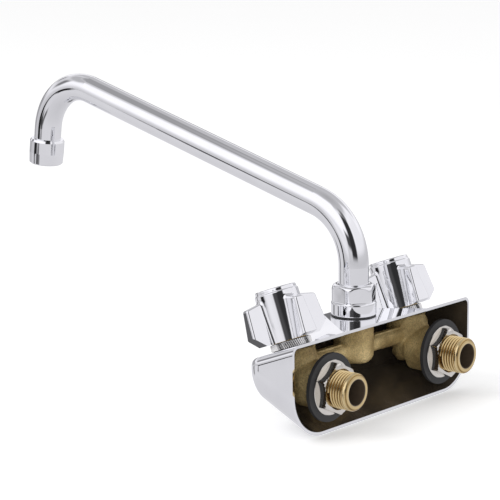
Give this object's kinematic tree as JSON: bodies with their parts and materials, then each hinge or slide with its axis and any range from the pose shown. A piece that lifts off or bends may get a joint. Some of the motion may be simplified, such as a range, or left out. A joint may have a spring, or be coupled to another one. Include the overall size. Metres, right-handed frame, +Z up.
{
  "type": "commercial wall faucet",
  "caption": "Wall-mounted mixing faucet with a bowed chrome housing, cross-handle valves, a long swinging gooseneck-bend spout and threaded inlet shanks.",
  "frame": {"origin": "on the wall plane, midway between the two inlets and at their height", "axes": "+Z up, +Y into the wall along the inlet shanks, +X towards the cold inlet; the spout reaches along -Y"},
  "size_m": [0.1612, 0.3014, 0.1757],
  "materials": {
    "chrome": "bright polished chrome plate",
    "cast_brass": "rough sand-cast yellow brass, unplated",
    "brass": "machined yellow brass",
    "nickel": "bright nickel plate",
    "stainless": "plain stainless steel",
    "black_rubber": "matt black rubber",
    "ceramic": "lapped white alumina ceramic",
    "white_plastic": "moulded off-white plastic",
    "blue_plastic": "moulded blue plastic",
    "red_plastic": "moulded red plastic"
  },
  "bodies": {
    "fixture": {"housing": "chrome", "waterway": "cast_brass", "swivel_nut": "chrome", "nut_seal": "black_rubber", "inlet_shank_cold": "brass", "flange_nut_cold": "nickel", "wall_washer_cold": "black_rubber", "lock_ring_cold": "chrome", "cartridge_body_cold": "brass", "fixed_disc_cold": "ceramic", "seat_seal_cold": "black_rubber", "cartridge_o_ring_cold": "black_rubber", "inlet_shank_hot": "brass", "flange_nut_hot": "nickel", "wall_washer_hot": "black_rubber", "lock_ring_hot": "chrome", "cartridge_body_hot": "brass", "fixed_disc_hot": "ceramic", "seat_seal_hot": "black_rubber", "cartridge_o_ring_hot": "black_rubber"},
    "spout": {"spout_tube": "chrome", "spout_spigot": "brass", "spout_o_ring_upper": "black_rubber", "spout_o_ring_lower": "black_rubber", "snap_ring": "stainless", "aerator_shell": "chrome", "aerator_insert": "white_plastic", "aerator_washer": "black_rubber"},
    "cold_handle": {"knob_cold": "chrome", "stem_cold": "brass", "moving_disc_cold": "ceramic", "stem_o_ring_cold": "black_rubber", "handle_screw_cold": "stainless", "index_cap_cold": "blue_plastic"},
    "hot_handle": {"knob_hot": "chrome", "stem_hot": "brass", "moving_disc_hot": "ceramic", "stem_o_ring_hot": "black_rubber", "handle_screw_hot": "stainless", "index_cap_hot": "red_plastic"}
  },
  "joints": [
    {"name": "spout_swing", "type": "hinge", "parent": "fixture", "child": "spout", "pos_m": [0, -0.0226, 0.04], "axis": [0, 0, 1], "range_deg": [-90, 90]},
    {"name": "cold_turn", "type": "hinge", "parent": "fixture", "child": "cold_handle", "pos_m": [0.0508, -0.025, 0.0177], "axis": [0, -0.3584, 0.9336], "range_deg": [0, 90]},
    {"name": "hot_turn", "type": "hinge", "parent": "fixture", "child": "hot_handle", "pos_m": [-0.0508, -0.025, 0.0177], "axis": [0, -0.3584, 0.9336], "range_deg": [-90, 0]}
  ]
}
